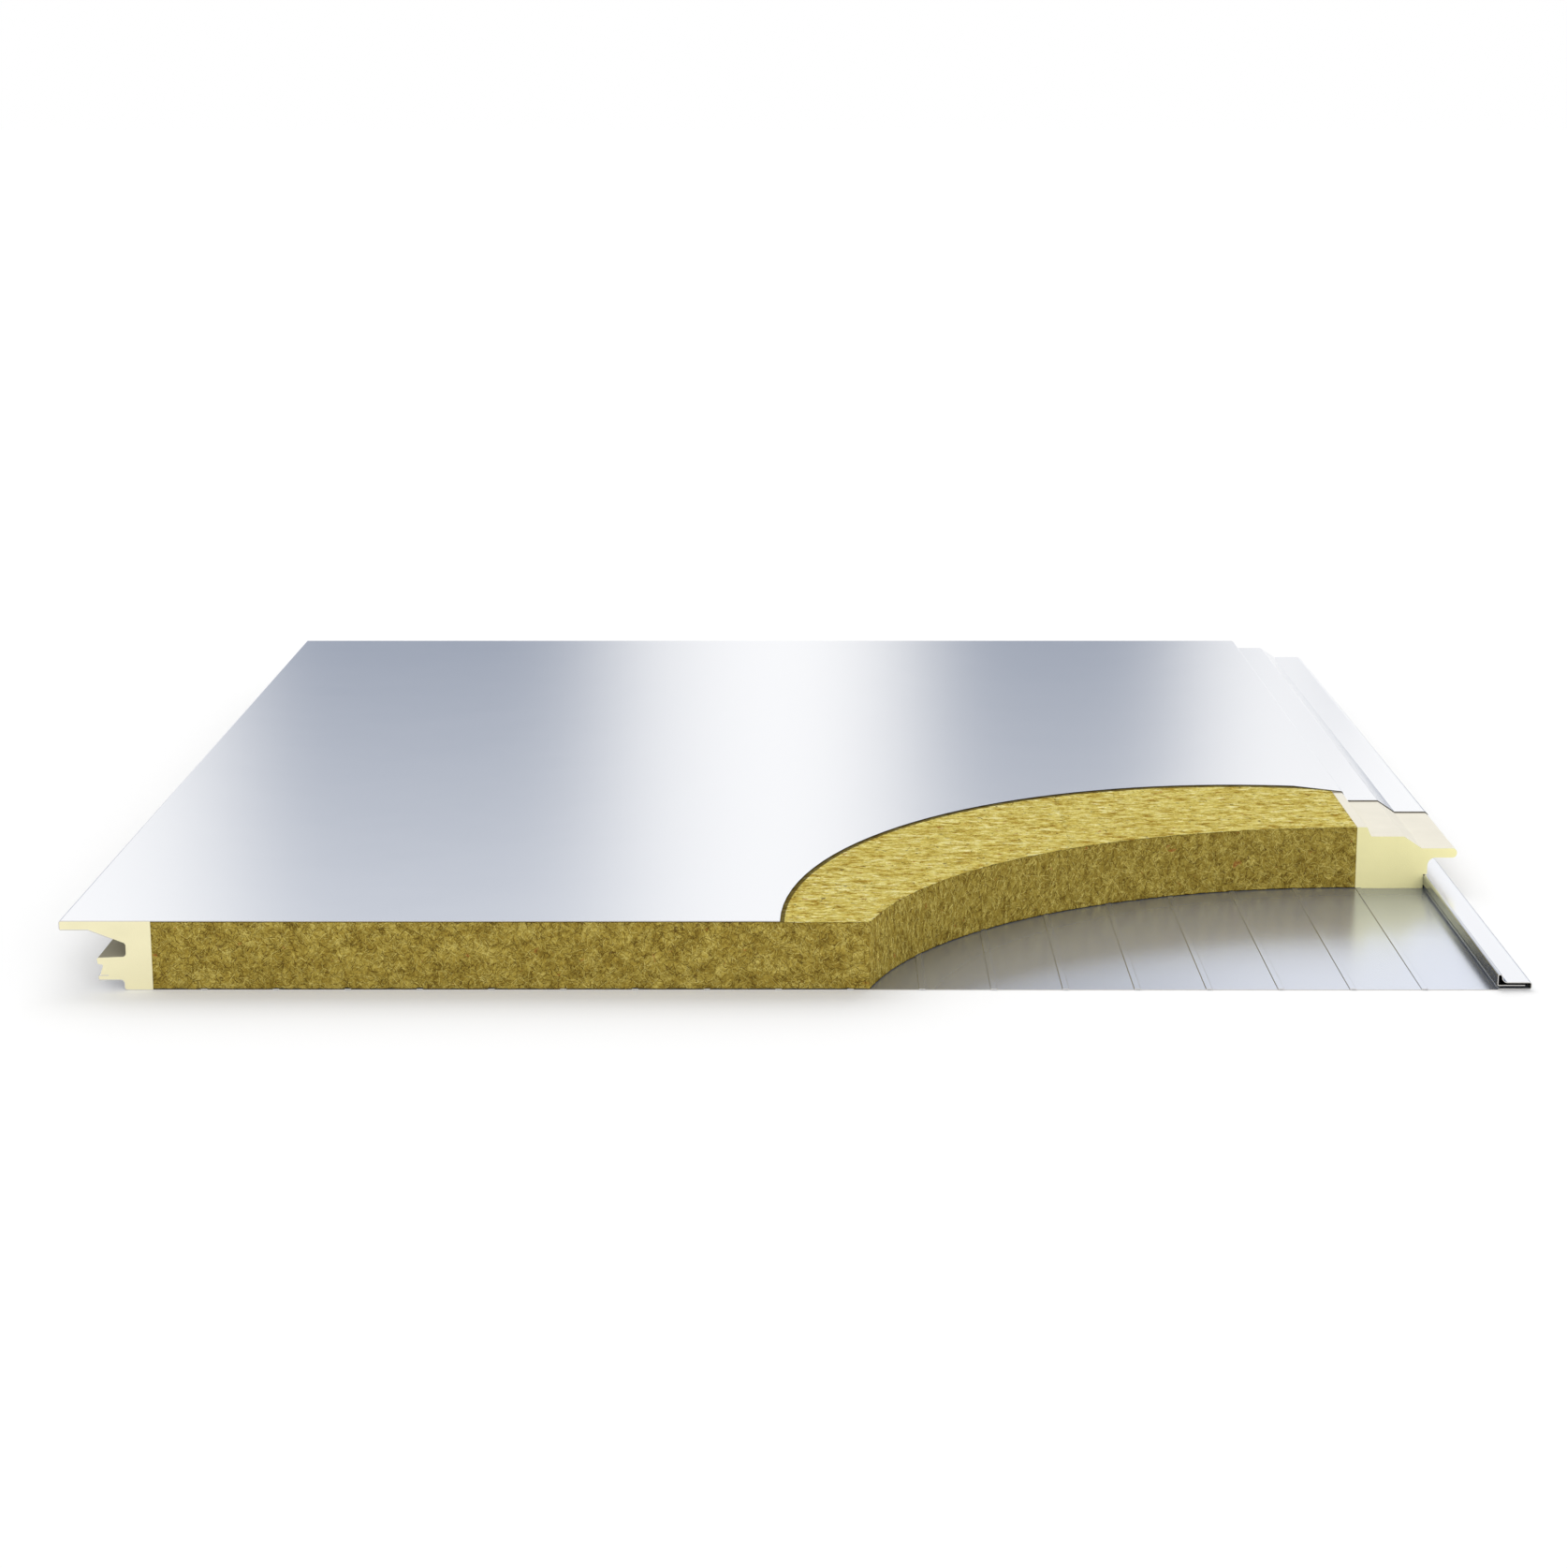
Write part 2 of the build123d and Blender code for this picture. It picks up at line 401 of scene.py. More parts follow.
@dataclass(frozen=True, kw_only=True)
class BackCoatedSteel(CoatedSteel):
    """Satin sheet whose side towards the core has a plainer grey back coat, with painted shade beside the wool
    and on the upstand.
    """

    wool: Curve
    # Painted shade beside the wool: a darker, less metallic back coat where the wool's shade falls on the
    # sheet.
    painted_shade: Colour = (0.38, 0.405, 0.46)
    painted_shade_metallic: float = 0.55
    painted_shade_reach: float = 0.8  # where the painted shade is half as strong, as a share of the way to the wool
    painted_shade_soft: float = 0.2
    back: Colour = (0.745, 0.785, 0.885)
    back_metallic: float = 0.86
    back_roughness: float = 0.23
    back_top: float = 0.0025  # the back coat shows on the flat of the sheet, below this height
    # Painted shade: the upstand's left face is given a darker colour than its coat.
    upstand_shade: Colour = (0.50, 0.53, 0.60)

    def coat(self, graph: Graph) -> tuple[object, object, object]:
        """Gives the colour of the coat, how metallic it is and how rough, on either side of the sheet.

        Args:
            graph: The material's graph.

        Returns:
            An output for each.
        """
        low = graph.inverse(graph.above(graph.spot["Z"], self.back_top, soft=0.0001))
        behind = graph.product(graph.above(graph.facing["Z"], self.slant), low)
        # The upstand's left face, which takes the painted shade.
        left = graph.above(graph.product(graph.facing["X"], -1.0), self.slant)
        upstand_shade = graph.product(left, graph.above(graph.spot["X"], 0.0))
        # Painted shade: darker and duller towards the wool.
        painted_shade_cover = graph.above(self.wool.share(graph), self.painted_shade_reach, self.painted_shade_soft)
        roughness = graph.between(behind, self.roughness, self.back_roughness)
        metallic = graph.between(painted_shade_cover, self.back_metallic, self.painted_shade_metallic)
        metallic = graph.between(behind, self.metallic, metallic)
        colour = graph.mix(behind, self.tint, graph.mix(painted_shade_cover, self.back, self.painted_shade))
        return graph.mix(upstand_shade, colour, self.upstand_shade), metallic, roughness


@dataclass(frozen=True)
class WoolGrain:
    """Colours of the wool from shade to light, and the patches and curls that they follow."""

    colours: Stops
    patches: Pattern
    curls: Pattern
    half_range: float
    own_share: float  # how much of a strand's tone is its own

    def colour(self, graph: Graph, own: Socket | None = None) -> Socket:
        """Gives the wool's colour.

        Args:
            graph: The material's graph.
            own: The tone of each strand, or None where there are no strands.

        Returns:
            The colour's output.
        """
        patches = graph.spots(self.patches, self.half_range)
        curls = graph.spots(self.curls, self.half_range)
        tone = graph.math("ADD", graph.product(patches, 0.5), graph.product(curls, 0.5))
        if own:
            shared = graph.product(tone, 1.0 - self.own_share)
            tone = graph.math("ADD", graph.product(own, self.own_share), shared)
        return graph.ramp(tone, self.colours)


@dataclass(frozen=True)
class Specks:
    """Small spots of another colour, strewn over a surface."""

    colour: Colour
    share: float
    pattern: Pattern
    limit: float
    soft: float

    def over(self, graph: Graph, ground: Socket) -> Socket:
        """Mixes the specks over a colour.

        Args:
            graph: The material's graph.
            ground: The colour between the specks.

        Returns:
            The colour's output.
        """
        spots = graph.above(graph.noise(self.pattern), self.limit, self.soft)
        return graph.mix(graph.product(spots, self.share), ground, self.colour)


@dataclass(frozen=True)
class GlueAndShadowLine:
    """Dark line along the sheets, part glue and part painted shadow: at the wool's lower and upper edge, and
    where the sheet is cut.
    """

    low: float
    high: float
    sheet: Curve
    border: tuple[float, float] = (0.0072, 0.0085)  # how wide it is beside the cut sheet, across and along
    width: float = 0.0008
    colour: Colour = (0.10, 0.065, 0.012)
    strength: float = 0.85

    def over(self, graph: Graph, ground: Socket, level: object) -> Socket:
        """Mixes the glue and painted shadow over a colour.

        Args:
            graph: The material's graph.
            ground: The colour beside the glue and painted shadow.
            level: A value or an output that is 1 on the ledge and 0 on the cut faces.

        Returns:
            The colour's output.
        """
        half = 0.5 * self.width
        # Painted shadow under the top sheet and at the wool's foot, together with the glue.
        upper = graph.above(graph.spot["Z"], self.high - self.width, half)
        lower = graph.inverse(graph.above(graph.spot["Z"], self.low + self.width, half))
        upright = graph.product(graph.inverse(level), graph.math("MAXIMUM", upper, lower))
        # Painted shadow of the cut sheet on the bare ledge, together with the glue.
        clean = self.sheet.shrunk(self.border)
        at_sheet = graph.above(clean.share(graph), 1.0, half / self.sheet.reach[1])
        cover = graph.math("MAXIMUM", upright, graph.product(level, at_sheet))
        return graph.mix(graph.product(cover, self.strength), ground, self.colour)


@dataclass(frozen=True)
class MineralWool:
    """Olive-yellow stone wool, whose fibres lie in planes across the panel's length."""

    name: str
    on_ledge: WoolGrain
    on_cut: WoolGrain
    glue_and_shadow: GlueAndShadowLine
    flat_share: float | None = None  # for strands only, 1 on the ledge and 0 on the cut faces
    slant: float = 0.8  # how far a normal turns up before the wool looks as on the ledge
    specks: tuple[Specks, ...] = (
        Specks((0.42, 0.13, 0.03), 0.6, Pattern(120.0, 1.0, 0.5), 0.75, 0.03),
        Specks((0.12, 0.065, 0.01), 0.7, Pattern(230.0, 1.0, 0.8), 0.71, 0.04),
    )
    fuzz: Pattern = Pattern(400.0, 3.0, 1.4)
    fuzz_strength: float = 0.4
    fuzz_depth: float = 0.001
    roughness: float = 0.9
    gloss: float = 0.2

    def build(self) -> Material:
        """Builds the material.

        Returns:
            The wool's material.
        """
        material, graph = new_material(self.name)
        if self.flat_share is None:
            normal = graph.split(graph.add("ShaderNodeNewGeometry").outputs["Normal"])
            level = graph.above(normal["Z"], self.slant, soft=0.15)
            colour = graph.mix(level, self.on_cut.colour(graph), self.on_ledge.colour(graph))
        else:
            own = graph.add("ShaderNodeAttribute", {"attribute_name": TONE}).outputs["Fac"]
            level = self.flat_share
            colour = (self.on_ledge if level else self.on_cut).colour(graph, own)
        for specks in self.specks:
            colour = specks.over(graph, colour)
        graph.finish(
            Base_Color=self.glue_and_shadow.over(graph, colour, level),
            Roughness=self.roughness,
            Specular_IOR_Level=self.gloss,
            Normal=graph.bump(graph.noise(self.fuzz), self.fuzz_strength, self.fuzz_depth),
        )
        return material


@dataclass(frozen=True)
class RigidFoam:
    """Pale yellow foam: fine cells where it is sawn, and a smooth skin elsewhere."""

    name: str
    sawn: Colour
    skin: Colour = (0.83, 0.79, 0.68)
    saw_slant: float = 0.7  # how far a normal turns along the panel before its face counts as sawn
    # Glue and painted shadow of the cut sheet on the foam's upward faces.
    glue_and_shadow: Colour = (0.16, 0.13, 0.08)
    glue_and_shadow_share: float = 0.8
    glue_and_shadow_start: float = 1.0  # glue and painted shadow show from here on, along the panel, on what faces up
    glue_and_shadow_slant: float = 0.1
    cells: Pattern = Pattern(1400.0)
    cell_strength: float = 0.35
    cell_depth: float = 0.0005
    clouds: Pattern = Pattern(45.0)
    cloud_range: float = 0.2
    cloud_shades: tuple[float, float] = (0.97, 1.01)
    roughness: float = 0.75

    def build(self) -> Material:
        """Builds the material.

        Returns:
            The foam's material.
        """
        material, graph = new_material(self.name)
        sawn = graph.above(graph.math("ABSOLUTE", graph.facing["Y"]), self.saw_slant)
        # Painted shadow and glue along the sheet's cut, on faces that point up.
        beyond = graph.above(graph.spot["Y"], self.glue_and_shadow_start, soft=0.0005)
        glue_and_shadow_cover = graph.product(beyond, graph.above(graph.facing["Z"], self.glue_and_shadow_slant), self.glue_and_shadow_share)
        colour = graph.mix(glue_and_shadow_cover, graph.mix(sawn, self.skin, self.sawn), self.glue_and_shadow)
        shade = graph.between(graph.spots(self.clouds, self.cloud_range), *self.cloud_shades)
        strength = graph.product(sawn, self.cell_strength)
        graph.finish(
            Base_Color=graph.vector("MULTIPLY", colour, shade),
            Roughness=self.roughness,
            Normal=graph.bump(graph.noise(self.cells), strength, self.cell_depth),
        )
        return material


def alone(piece: Piece) -> None:
    """Selects one object and makes it the active one."""
    bpy.ops.object.select_all(action="DESELECT")
    piece.select_set(True)
    bpy.context.view_layer.objects.active = piece


def pick(piece: Piece, kind: Kind, test: Callable[[bmesh.types.BMElem], bool]) -> None:
    """Selects the elements that pass a test, in edit mode.

    Args:
        piece: The object that is being edited.
        kind: The kind of element to select.
        test: Says for an element whether it is wanted.
    """
    bpy.ops.mesh.select_mode(type=kind.name)
    bpy.ops.mesh.select_all(action="DESELECT")
    mesh = bmesh.from_edit_mesh(piece.data)
    for element in getattr(mesh, kind.value):
        if test(element):
            element.select_set(True)
    bmesh.update_edit_mesh(piece.data)


def at(places: Sequence[Vector]) -> Callable[[bmesh.types.BMVert], bool]:
    """Returns a test for the vertices that lie at one of the places."""
    return lambda vertex: any((vertex.co - place).length < 1e-5 for place in places)


def width_of(edge: bmesh.types.BMEdge) -> float:
    """Returns how far an edge reaches along X."""
    return abs(edge.verts[0].co.x - edge.verts[1].co.x)


def modify(piece: Piece, kind: str, **settings: object) -> None:
    """Puts a modifier on a piece and keeps the result as its mesh.

    Args:
        piece: The piece to change.
        kind: The modifier's type name.
        settings: Its properties.
    """
    alone(piece)
    step = piece.modifiers.new(kind, kind)
    for name, value in settings.items():
        setattr(step, name, value)
    bpy.ops.object.modifier_apply(modifier=step.name)


def new_shaper(name: str) -> tuple[Graph, Socket]:
    """Makes an empty Geometry Nodes tree and returns its graph and its incoming mesh."""
    tree = bpy.data.node_groups.new(name, "GeometryNodeTree")
    tree.interface.new_socket("Geometry", in_out="INPUT", socket_type="NodeSocketGeometry")
    tree.interface.new_socket("Geometry", in_out="OUTPUT", socket_type="NodeSocketGeometry")
    graph = Graph(tree)
    return graph, graph.add("NodeGroupInput").outputs["Geometry"]


def shape(piece: Piece, graph: Graph, result: Socket) -> None:
    """Ends a Geometry Nodes tree and runs it on a piece.

    Args:
        piece: The piece to shape.
        graph: The tree's graph.
        result: The geometry that the piece's mesh becomes.
    """
    graph.add("NodeGroupOutput", i0=result)
    modify(piece, "NODES", node_group=graph.tree)


def dress(piece: Piece, material: Material) -> None:
    """Gives a piece its finish.

    Args:
        piece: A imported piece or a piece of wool.
        material: Its new material.
    """
    piece.data.materials.clear()
    piece.data.materials.append(material)
    log.info("dressed %s", piece.name)


@dataclass(frozen=True)
class WoolRelief:
    """Uneven surface of the wool, sunk a little below the plain block. Sizes are in metres."""

    least: float = 0.00015
    bundles: Pattern = Pattern(110.0, 1.0, 0.4, LAYERS)
    bundle_depth: float = 0.0007
    curls: Pattern = Pattern(380.0, 1.0, 0.8, LAYERS)
    curl_depth: float = 0.0004
    half_range: float = 0.2

    def sink(self, piece: Piece, left: float, right: float) -> None:
        """Presses the relief into a piece, along its normals.

        Args:
            piece: The block of wool.
            left: Where the wool ends against the left strip, which keeps its place.
            right: Where it ends against the right strip.
        """
        graph, mesh = new_shaper("wool_relief")
        bundles = graph.product(graph.spots(self.bundles, self.half_range), self.bundle_depth)
        curls = graph.product(graph.spots(self.curls, self.half_range), self.curl_depth)
        depth = graph.math("ADD", graph.math("ADD", bundles, curls), self.least)
        normal = graph.add("GeometryNodeInputNormal").outputs["Normal"]
        inside = graph.within(graph.spot["X"], left, right, soft=1e-5)
        free = graph.add("ShaderNodeCombineXYZ", X=inside, Y=1.0, Z=1.0).outputs[0]
        offset = graph.scaled(graph.vector("MULTIPLY", normal, free), graph.product(depth, -1.0))
        sunk = graph.add("GeometryNodeSetPosition", Geometry=mesh, Offset=offset)
        shape(piece, graph, sunk.outputs["Geometry"])


@dataclass(frozen=True)
class Fibre:
    """One strand of wool: a thin closed rod along X, curled in its own plane. Sizes are in metres."""

    name: str
    length: float
    thickness: float
    curl_deg: float
    tip: float = 0.4  # how thin its ends are, as a share of its thickness
    sides: int = 3
    cuts: int = 2

    def build(self) -> Piece:
        """Models the strand.

        Returns:
            The strand, which stores each vertex's height as its lift.
        """
        bpy.ops.object.select_all(action="DESELECT")
        bpy.ops.mesh.primitive_cylinder_add(
            vertices=self.sides,
            radius=self.thickness / 2,
            depth=self.length,
            rotation=(0.0, math.pi / 2, 0.0),
        )
        piece = bpy.context.object
        piece.name = self.name
        bpy.ops.object.transform_apply(rotation=True)
        bpy.ops.object.mode_set(mode="EDIT")
        pick(piece, Kind.EDGE, lambda edge: width_of(edge) > 0.5 * self.length)
        bpy.ops.mesh.subdivide(number_cuts=self.cuts)
        pick(piece, Kind.FACE, lambda face: abs(face.normal.x) > 0.9)
        bpy.ops.transform.resize(value=(1.0, self.tip, self.tip), center_override=(0.0, 0.0, 0.0))
        bpy.ops.object.mode_set(mode="OBJECT")
        curl = math.radians(self.curl_deg)
        modify(piece, "SIMPLE_DEFORM", deform_method="BEND", deform_axis="Z", angle=curl)
        bpy.ops.object.shade_smooth()
        lift = piece.data.attributes.new(LIFT, "FLOAT", "POINT")
        lift.data.foreach_set("value", [vertex.co.z for vertex in piece.data.vertices])
        return piece


@dataclass(frozen=True)
class FibreCover:
    """The strands that lie on one face of the wool, in planes across the panel's length."""

    region: Region
    count: int
    stretch: float
    seed: int
    stray: float = 0.25  # how far a strand's course may turn along the panel
    overhang: float = 0.03  # how much of the way it runs past an edge a strand keeps

    def lay(self, piece: Piece, strands: Sequence[Piece]) -> None:
        """Turns a piece of the wool's surface into the strands that lie on it.

        Args:
            piece: The surface, which the strands replace.
            strands: The kinds of strand.
        """
        graph, ground = new_shaper("strands_" + self.region.value)
        density = self.count / sum(face.area for face in piece.data.polygons)
        spread = graph.add("GeometryNodeDistributePointsOnFaces", Mesh=ground, Density=density, Seed=self.seed)
        tone = self.chance(graph, 1, i2=0.0, i3=1.0)[1]
        points = graph.stored(spread.outputs["Points"], "FLOAT_VECTOR", UP, spread.outputs["Normal"])
        points = graph.stored(points, "FLOAT", TONE, tone)
        kinds = graph.add("GeometryNodeJoinGeometry")
        for strand in strands:
            source = graph.add("GeometryNodeObjectInfo", Object=strand, As_Instance=True)
            graph.tree.links.new(source.outputs["Geometry"], kinds.inputs[0])
        ends = {"i0": (-1.0, -self.stray, -1.0), "i1": (1.0, self.stray, 1.0)}
        course = self.chance(graph, 2, "FLOAT_VECTOR", **ends)[0]
        up = graph.recalled("FLOAT_VECTOR", UP)
        flat = graph.add("FunctionNodeAlignRotationToVector", {"axis": "Z"}, Vector=up)
        axes = {"axis": "X", "pivot_axis": "Z"}
        turned = graph.add(
            "FunctionNodeAlignRotationToVector", axes, Rotation=flat.outputs[0], Vector=course
        )
        reach = self.chance(graph, 3, i2=0.6 * self.stretch, i3=1.4 * self.stretch)[1]
        laid = graph.add(
            "GeometryNodeInstanceOnPoints",
            Points=points,
            Instance=kinds.outputs[0],
            Pick_Instance=True,
            Instance_Index=self.chance(graph, 4, "INT", i4=0, i5=len(strands) - 1)[2],
            Rotation=turned.outputs[0],
            Scale=graph.add("ShaderNodeCombineXYZ", X=reach, Y=1.0, Z=1.0).outputs[0],
        )
        real = graph.add("GeometryNodeRealizeInstances", i0=laid.outputs[0])
        settled = self.settle(graph, real.outputs[0], ground, up)
        for name in (UP, LIFT):
            settled = graph.add("GeometryNodeRemoveAttribute", Geometry=settled, Name=name).outputs[0]
        shape(piece, graph, settled)

    def chance(self, graph: Graph, turn: int, kind: str = "FLOAT", **ends: object) -> Sequence[Socket]:
        """Adds a random value between two ends, another one for each turn, and returns its outputs."""
        seed = self.seed + turn
        return graph.add("FunctionNodeRandomValue", {"data_type": kind}, Seed=seed, **ends).outputs

    def settle(self, graph: Graph, mesh: Socket, ground: Socket, up: Socket) -> Socket:
        """Lets the strands follow the surface that they lie on.

        Args:
            graph: The tree's graph.
            mesh: The strands.
            ground: The surface.
            up: The surface's normal where each strand starts.

        Returns:
            The settled strands.
        """
        near = graph.add("GeometryNodeProximity", {"target_element": "FACES"}, i0=ground).outputs["Position"]
        astray = graph.scaled(graph.vector("SUBTRACT", graph.place, near), self.overhang)
        lift = graph.recalled("FLOAT", LIFT)
        raised = graph.vector("ADD", graph.vector("ADD", near, astray), graph.scaled(up, lift))
        return graph.add("GeometryNodeSetPosition", Geometry=mesh, Position=raised).outputs["Geometry"]


@dataclass
class WoolCore:
    """The mineral wool between the strips, with its relief and its loose fibres.

    The lowest and highest corners come from the frame. The other sizes are in metres.
    """

    low: Vector
    high: Vector
    cut_width: float = 0.3917
    cut_depth: float = 0.280
    cut_drop: float = 0.090  # how far in front of the panel the wool's curve has its centre
    sheet: Curve = Curve((0.36085, -0.55), (0.378, 0.432))  # a little under the edge of the cut sheet
    arc_cells: int = 440
    ledge_cells: int = 80
    wall_cells: int = 40
    rim_limits: tuple[float, float] = (0.4, 0.02)  # longer edges are divided, in two rounds
    rim_cuts: int = 19
    rib_first: float = 0.44485
    rib_pitch: float = 0.051
    rib_count: int = 18
    rib_width: float = 0.005
    rib_height: float = 0.0005
    strip_margin: float = 0.0002
    relief_reach: float = 0.0015
    slant: float = 0.5  # how far a normal turns to a side before its face counts as facing it
    slack: float = 1.05
    ledge_split: float = 0.21
    kinds: tuple[Fibre, ...] = (
        Fibre("strand_straight", 0.009, 0.0006, 25.0),
        Fibre("strand_bowed", 0.008, 0.0007, -45.0),
        Fibre("strand_curved", 0.007, 0.0006, 80.0),
        Fibre("strand_curled", 0.006, 0.0007, 130.0),
    )
    covers: tuple[FibreCover, ...] = (
        FibreCover(Region.FRONT, 8500, 0.9, 10),
        FibreCover(Region.WALL, 8500, 0.9, 20),
        FibreCover(Region.LEDGE_NEAR, 8500, 2.6, 30, 0.15),
        FibreCover(Region.LEDGE_FAR, 8500, 2.6, 40, 0.15),
    )

    def wall_curve(self) -> Curve:
        """Returns the curve along which the wool is cut."""
        depth = self.cut_depth + self.cut_drop
        width = self.cut_width / math.sqrt(1.0 - (self.cut_drop / depth) ** 2)
        return Curve((self.high.x, self.low.y - self.cut_drop), (width, depth))

    def strip_share(self) -> float:
        """Returns how far right the right strip meets the sheet's curve, as a share of its reach."""
        return (self.high.x - self.sheet.centre[0]) / self.sheet.reach[0]

    def outline(self) -> Piece:
        """Draws the wool's upper outline, with a fine grid over the ledge that is laid bare.

        Returns:
            The object, in edit mode, with one closed sheet of faces.
        """
        bpy.ops.mesh.primitive_plane_add()
        piece = bpy.context.object
        piece.name = "wool_block"
        bpy.ops.object.mode_set(mode="EDIT")
        bpy.ops.mesh.select_mode(type="VERT")
        bpy.ops.mesh.delete(type="VERT")
        wall = self.wall_curve()
        self.draw_arc(wall, 0.5 * math.pi, math.pi - math.asin(self.cut_drop / wall.reach[1]))
        self.draw_arc(self.sheet, math.acos(self.strip_share()), math.pi)
        bpy.ops.mesh.select_all(action="SELECT")
        bpy.ops.mesh.bridge_edge_loops(number_cuts=self.ledge_cells, interpolation="LINEAR")
        self.close_top(piece)
        return piece

    def draw_arc(self, curve: Curve, start: float, end: float) -> None:
        """Adds a stretch of a curve at the wool's top, in equal steps.

        Args:
            curve: The curve.
            start: The angle where the stretch starts, in radians.
            end: The angle where it ends.
        """
        place = Vector((*curve.centre, self.high.z))
        first = place + Vector((math.cos(start), math.sin(start), 0.0))
        bpy.ops.mesh.select_all(action="DESELECT")
        bpy.ops.mesh.primitive_plane_add(location=first)
        bpy.ops.mesh.merge(type="CENTER")
        bpy.ops.mesh.spin(steps=self.arc_cells, angle=start - end, center=place, axis=(0.0, 0.0, 1.0))
        bpy.ops.mesh.select_linked()
        bpy.ops.transform.resize(value=(*curve.reach, 1.0), center_override=place)

    def close_top(self, piece: Piece) -> None:
        """Closes the part of the upper face that the sheet covers.

        Args:
            piece: The object that is being edited.
        """
        top = self.high.z
        ledge_x = self.sheet.centre[0] - self.sheet.reach[0]
        ledge_y = self.sheet.centre[1] + self.sheet.reach[1] * math.sqrt(1.0 - self.strip_share() ** 2)
        corners = [
            Vector((ledge_x, self.low.y, top)),
            Vector((self.low.x, self.low.y, top)),
            Vector((self.low.x, self.high.y, top)),
            Vector((self.high.x, self.high.y, top)),
            Vector((self.high.x, ledge_y, top)),
        ]
        pick(piece, Kind.VERT, at(corners[:1]))
        for start, end in zip(corners[:3], corners[1:4]):
            bpy.ops.mesh.extrude_vertices_move(TRANSFORM_OT_translate={"value": end - start})
        pick(piece, Kind.VERT, at(corners[3:]))
        bpy.ops.mesh.edge_face_add()
        for longest in self.rim_limits:
            pick(piece, Kind.EDGE, lambda edge: edge.is_wire and width_of(edge) > longest)
            bpy.ops.mesh.subdivide(number_cuts=self.rim_cuts)
        pick(piece, Kind.EDGE, self.on_cover)
        bpy.ops.mesh.edge_face_add()

    def on_cover(self, edge: bmesh.types.BMEdge) -> bool:
        """Says whether an edge is on the outline of what the sheet covers."""
        middle = (edge.verts[0].co + edge.verts[1].co) / 2
        return edge.is_wire or (edge.is_boundary and abs(self.sheet.share_at(middle) - 1.0) < 1e-4)

    def block(self) -> Piece:
        """Builds the closed block of wool with a fine grid on the faces that show.

        Returns:
            The block.
        """
        piece = self.outline()
        pick(piece, Kind.EDGE, lambda edge: edge.is_boundary)
        drop = (self.low.z - self.high.z) / self.wall_cells
        for _ in range(self.wall_cells):
            bpy.ops.mesh.extrude_edges_move(TRANSFORM_OT_translate={"value": (0.0, 0.0, drop)})
        bpy.ops.mesh.edge_face_add()
        bpy.ops.mesh.select_all(action="SELECT")
        bpy.ops.mesh.normals_make_consistent(inside=False)
        bpy.ops.object.mode_set(mode="OBJECT")
        self.groove(piece)
        return piece

    def groove(self, piece: Piece) -> None:
        """Cuts the grooves that sit over the inner sheet's ribs.

        Args:
            piece: The block.
        """
        bpy.ops.object.select_all(action="DESELECT")
        size = (self.rib_width, 2.4 * self.high.y, 2.0 * self.rib_height)
        middle = (self.rib_first, 0.0, self.low.z)
        bpy.ops.mesh.primitive_cube_add(size=1.0, location=middle)
        bar = bpy.context.object
        bpy.ops.object.transform_apply(location=True)
        bpy.ops.object.mode_set(mode="EDIT")
        bpy.ops.transform.resize(value=size, center_override=middle)
        pick(bar, Kind.FACE, lambda face: face.normal.z > self.slant)
        narrow = (self.rib_width - 2.0 * self.rib_height) / self.rib_width
        bpy.ops.transform.resize(value=(narrow, 1.0, 1.0), center_override=middle)
        bpy.ops.object.mode_set(mode="OBJECT")
        modify(
            bar,
            "ARRAY",
            use_relative_offset=False,
            use_constant_offset=True,
            constant_offset_displace=(-self.rib_pitch, 0.0, 0.0),
            count=self.rib_count,
        )
        modify(piece, "BOOLEAN", operation="DIFFERENCE", solver="MANIFOLD", object=bar)
        bpy.data.objects.remove(bar)

    def holds(self, region: Region, face: bmesh.types.BMFace) -> bool:
        """Says whether a face of the block belongs to a region.

        Args:
            region: The region.
            face: A face of the block with its relief.

        Returns:
            True where it does.
        """
        centre = face.calc_center_median()
        relief = self.relief_reach
        if region is Region.FRONT:
            return face.normal.y < -self.slant and centre.y < self.low.y + relief
        if region is Region.WALL:
            x = (centre.x - self.high.x) / self.cut_width
            y = (centre.y - self.low.y) / self.cut_depth
            clear = centre.x < self.high.x - relief and centre.y > self.low.y + relief
            return clear and abs(face.normal.z) < self.slant and -self.slack < x and y < self.slack
        level = face.normal.z > self.slant and centre.z > self.high.z - relief
        near = centre.x < self.ledge_split
        return level and self.sheet.share_at(centre) < 1.0 and near == (region is Region.LEDGE_NEAR)

    def surface(self, block: Piece, region: Region) -> Piece:
        """Copies one region of the block's surface.

        Args:
            block: The block of wool.
            region: The region to copy.

        Returns:
            The surface, as a new object.
        """
        piece = bpy.data.objects.new("wool_strands_" + region.value, block.data.copy())
        bpy.context.scene.collection.objects.link(piece)
        alone(piece)
        bpy.ops.object.mode_set(mode="EDIT")
        pick(piece, Kind.FACE, lambda face: not self.holds(region, face))
        bpy.ops.mesh.delete(type="FACE")
        bpy.ops.object.mode_set(mode="OBJECT")
        return piece

    def build(self, solid: Material, loose: dict[Region, Material]) -> None:
        """Builds the block and its strands and hands them to the frame.

        Args:
            solid: The block's material.
            loose: The material of the strands in each region.
        """
        block = self.block()
        WoolRelief().sink(block, self.low.x + self.strip_margin, self.high.x - self.strip_margin)
        strands = [kind.build() for kind in self.kinds]
        pieces = [(block, solid)]
        for cover in self.covers:
            piece = self.surface(block, cover.region)
            cover.lay(piece, strands)
            pieces.append((piece, loose[cover.region]))
        for strand in strands:
            bpy.data.objects.remove(strand)
        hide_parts(Node.WOOL.value)
        for piece, material in pieces:
            dress(piece, material)
            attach(piece, "root")
            log.info("built %s with %d faces", piece.name, len(piece.data.polygons))


